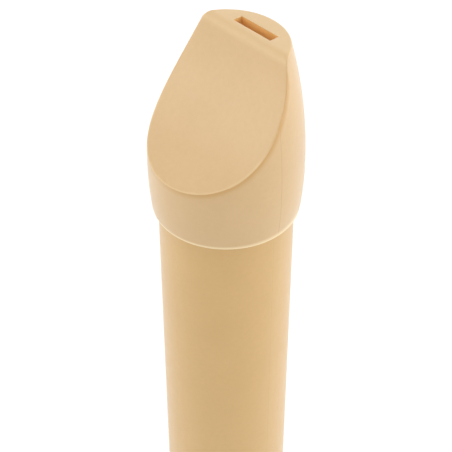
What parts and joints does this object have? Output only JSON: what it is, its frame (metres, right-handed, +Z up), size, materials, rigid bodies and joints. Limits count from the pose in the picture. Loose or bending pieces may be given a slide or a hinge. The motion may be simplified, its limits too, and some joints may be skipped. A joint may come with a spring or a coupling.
{
  "type": "descant recorder",
  "caption": "Straight moulded recorder with a hollow-cut beak, windway and window, a tapering body with finger and thumb holes, and a waisted foot that it stands on.",
  "frame": {"origin": "centre of the foot joint's flat end face, on the axis of the bore", "axes": "+Z up the bore from the foot to the beak, +Y to the back with the beak's cut and the thumb hole, -Y to the front with the window and the finger holes"},
  "size_m": [0.0286, 0.0286, 0.3295],
  "materials": {
    "cream_plastic": "satin moulded cream plastic",
    "cork": "fine-grained cork"
  },
  "bodies": {
    "foot": {"foot_joint": "cream_plastic"},
    "lower_cork": {"lower_tenon_cork": "cork"},
    "middle": {"middle_joint": "cream_plastic"},
    "upper_cork": {"upper_tenon_cork": "cork"},
    "head": {"head_tube": "cream_plastic", "mouthpiece_cap": "cream_plastic", "block": "cream_plastic"}
  },
  "joints": [
    {"name": "foot_pull", "type": "slide", "parent": "foot", "child": "lower_cork", "axis": [0, 0, 1], "range_m": [0, 0.03]},
    {"name": "foot_turn", "type": "hinge", "parent": "lower_cork", "child": "middle", "pos_m": [0, 0, 0.0703], "axis": [0, 0, 1], "continuous": true},
    {"name": "head_turn", "type": "hinge", "parent": "middle", "child": "upper_cork", "pos_m": [0, 0, 0.2066], "axis": [0, 0, 1], "continuous": true},
    {"name": "head_pull", "type": "slide", "parent": "upper_cork", "child": "head", "axis": [0, 0, 1], "range_m": [0, 0.035]}
  ]
}
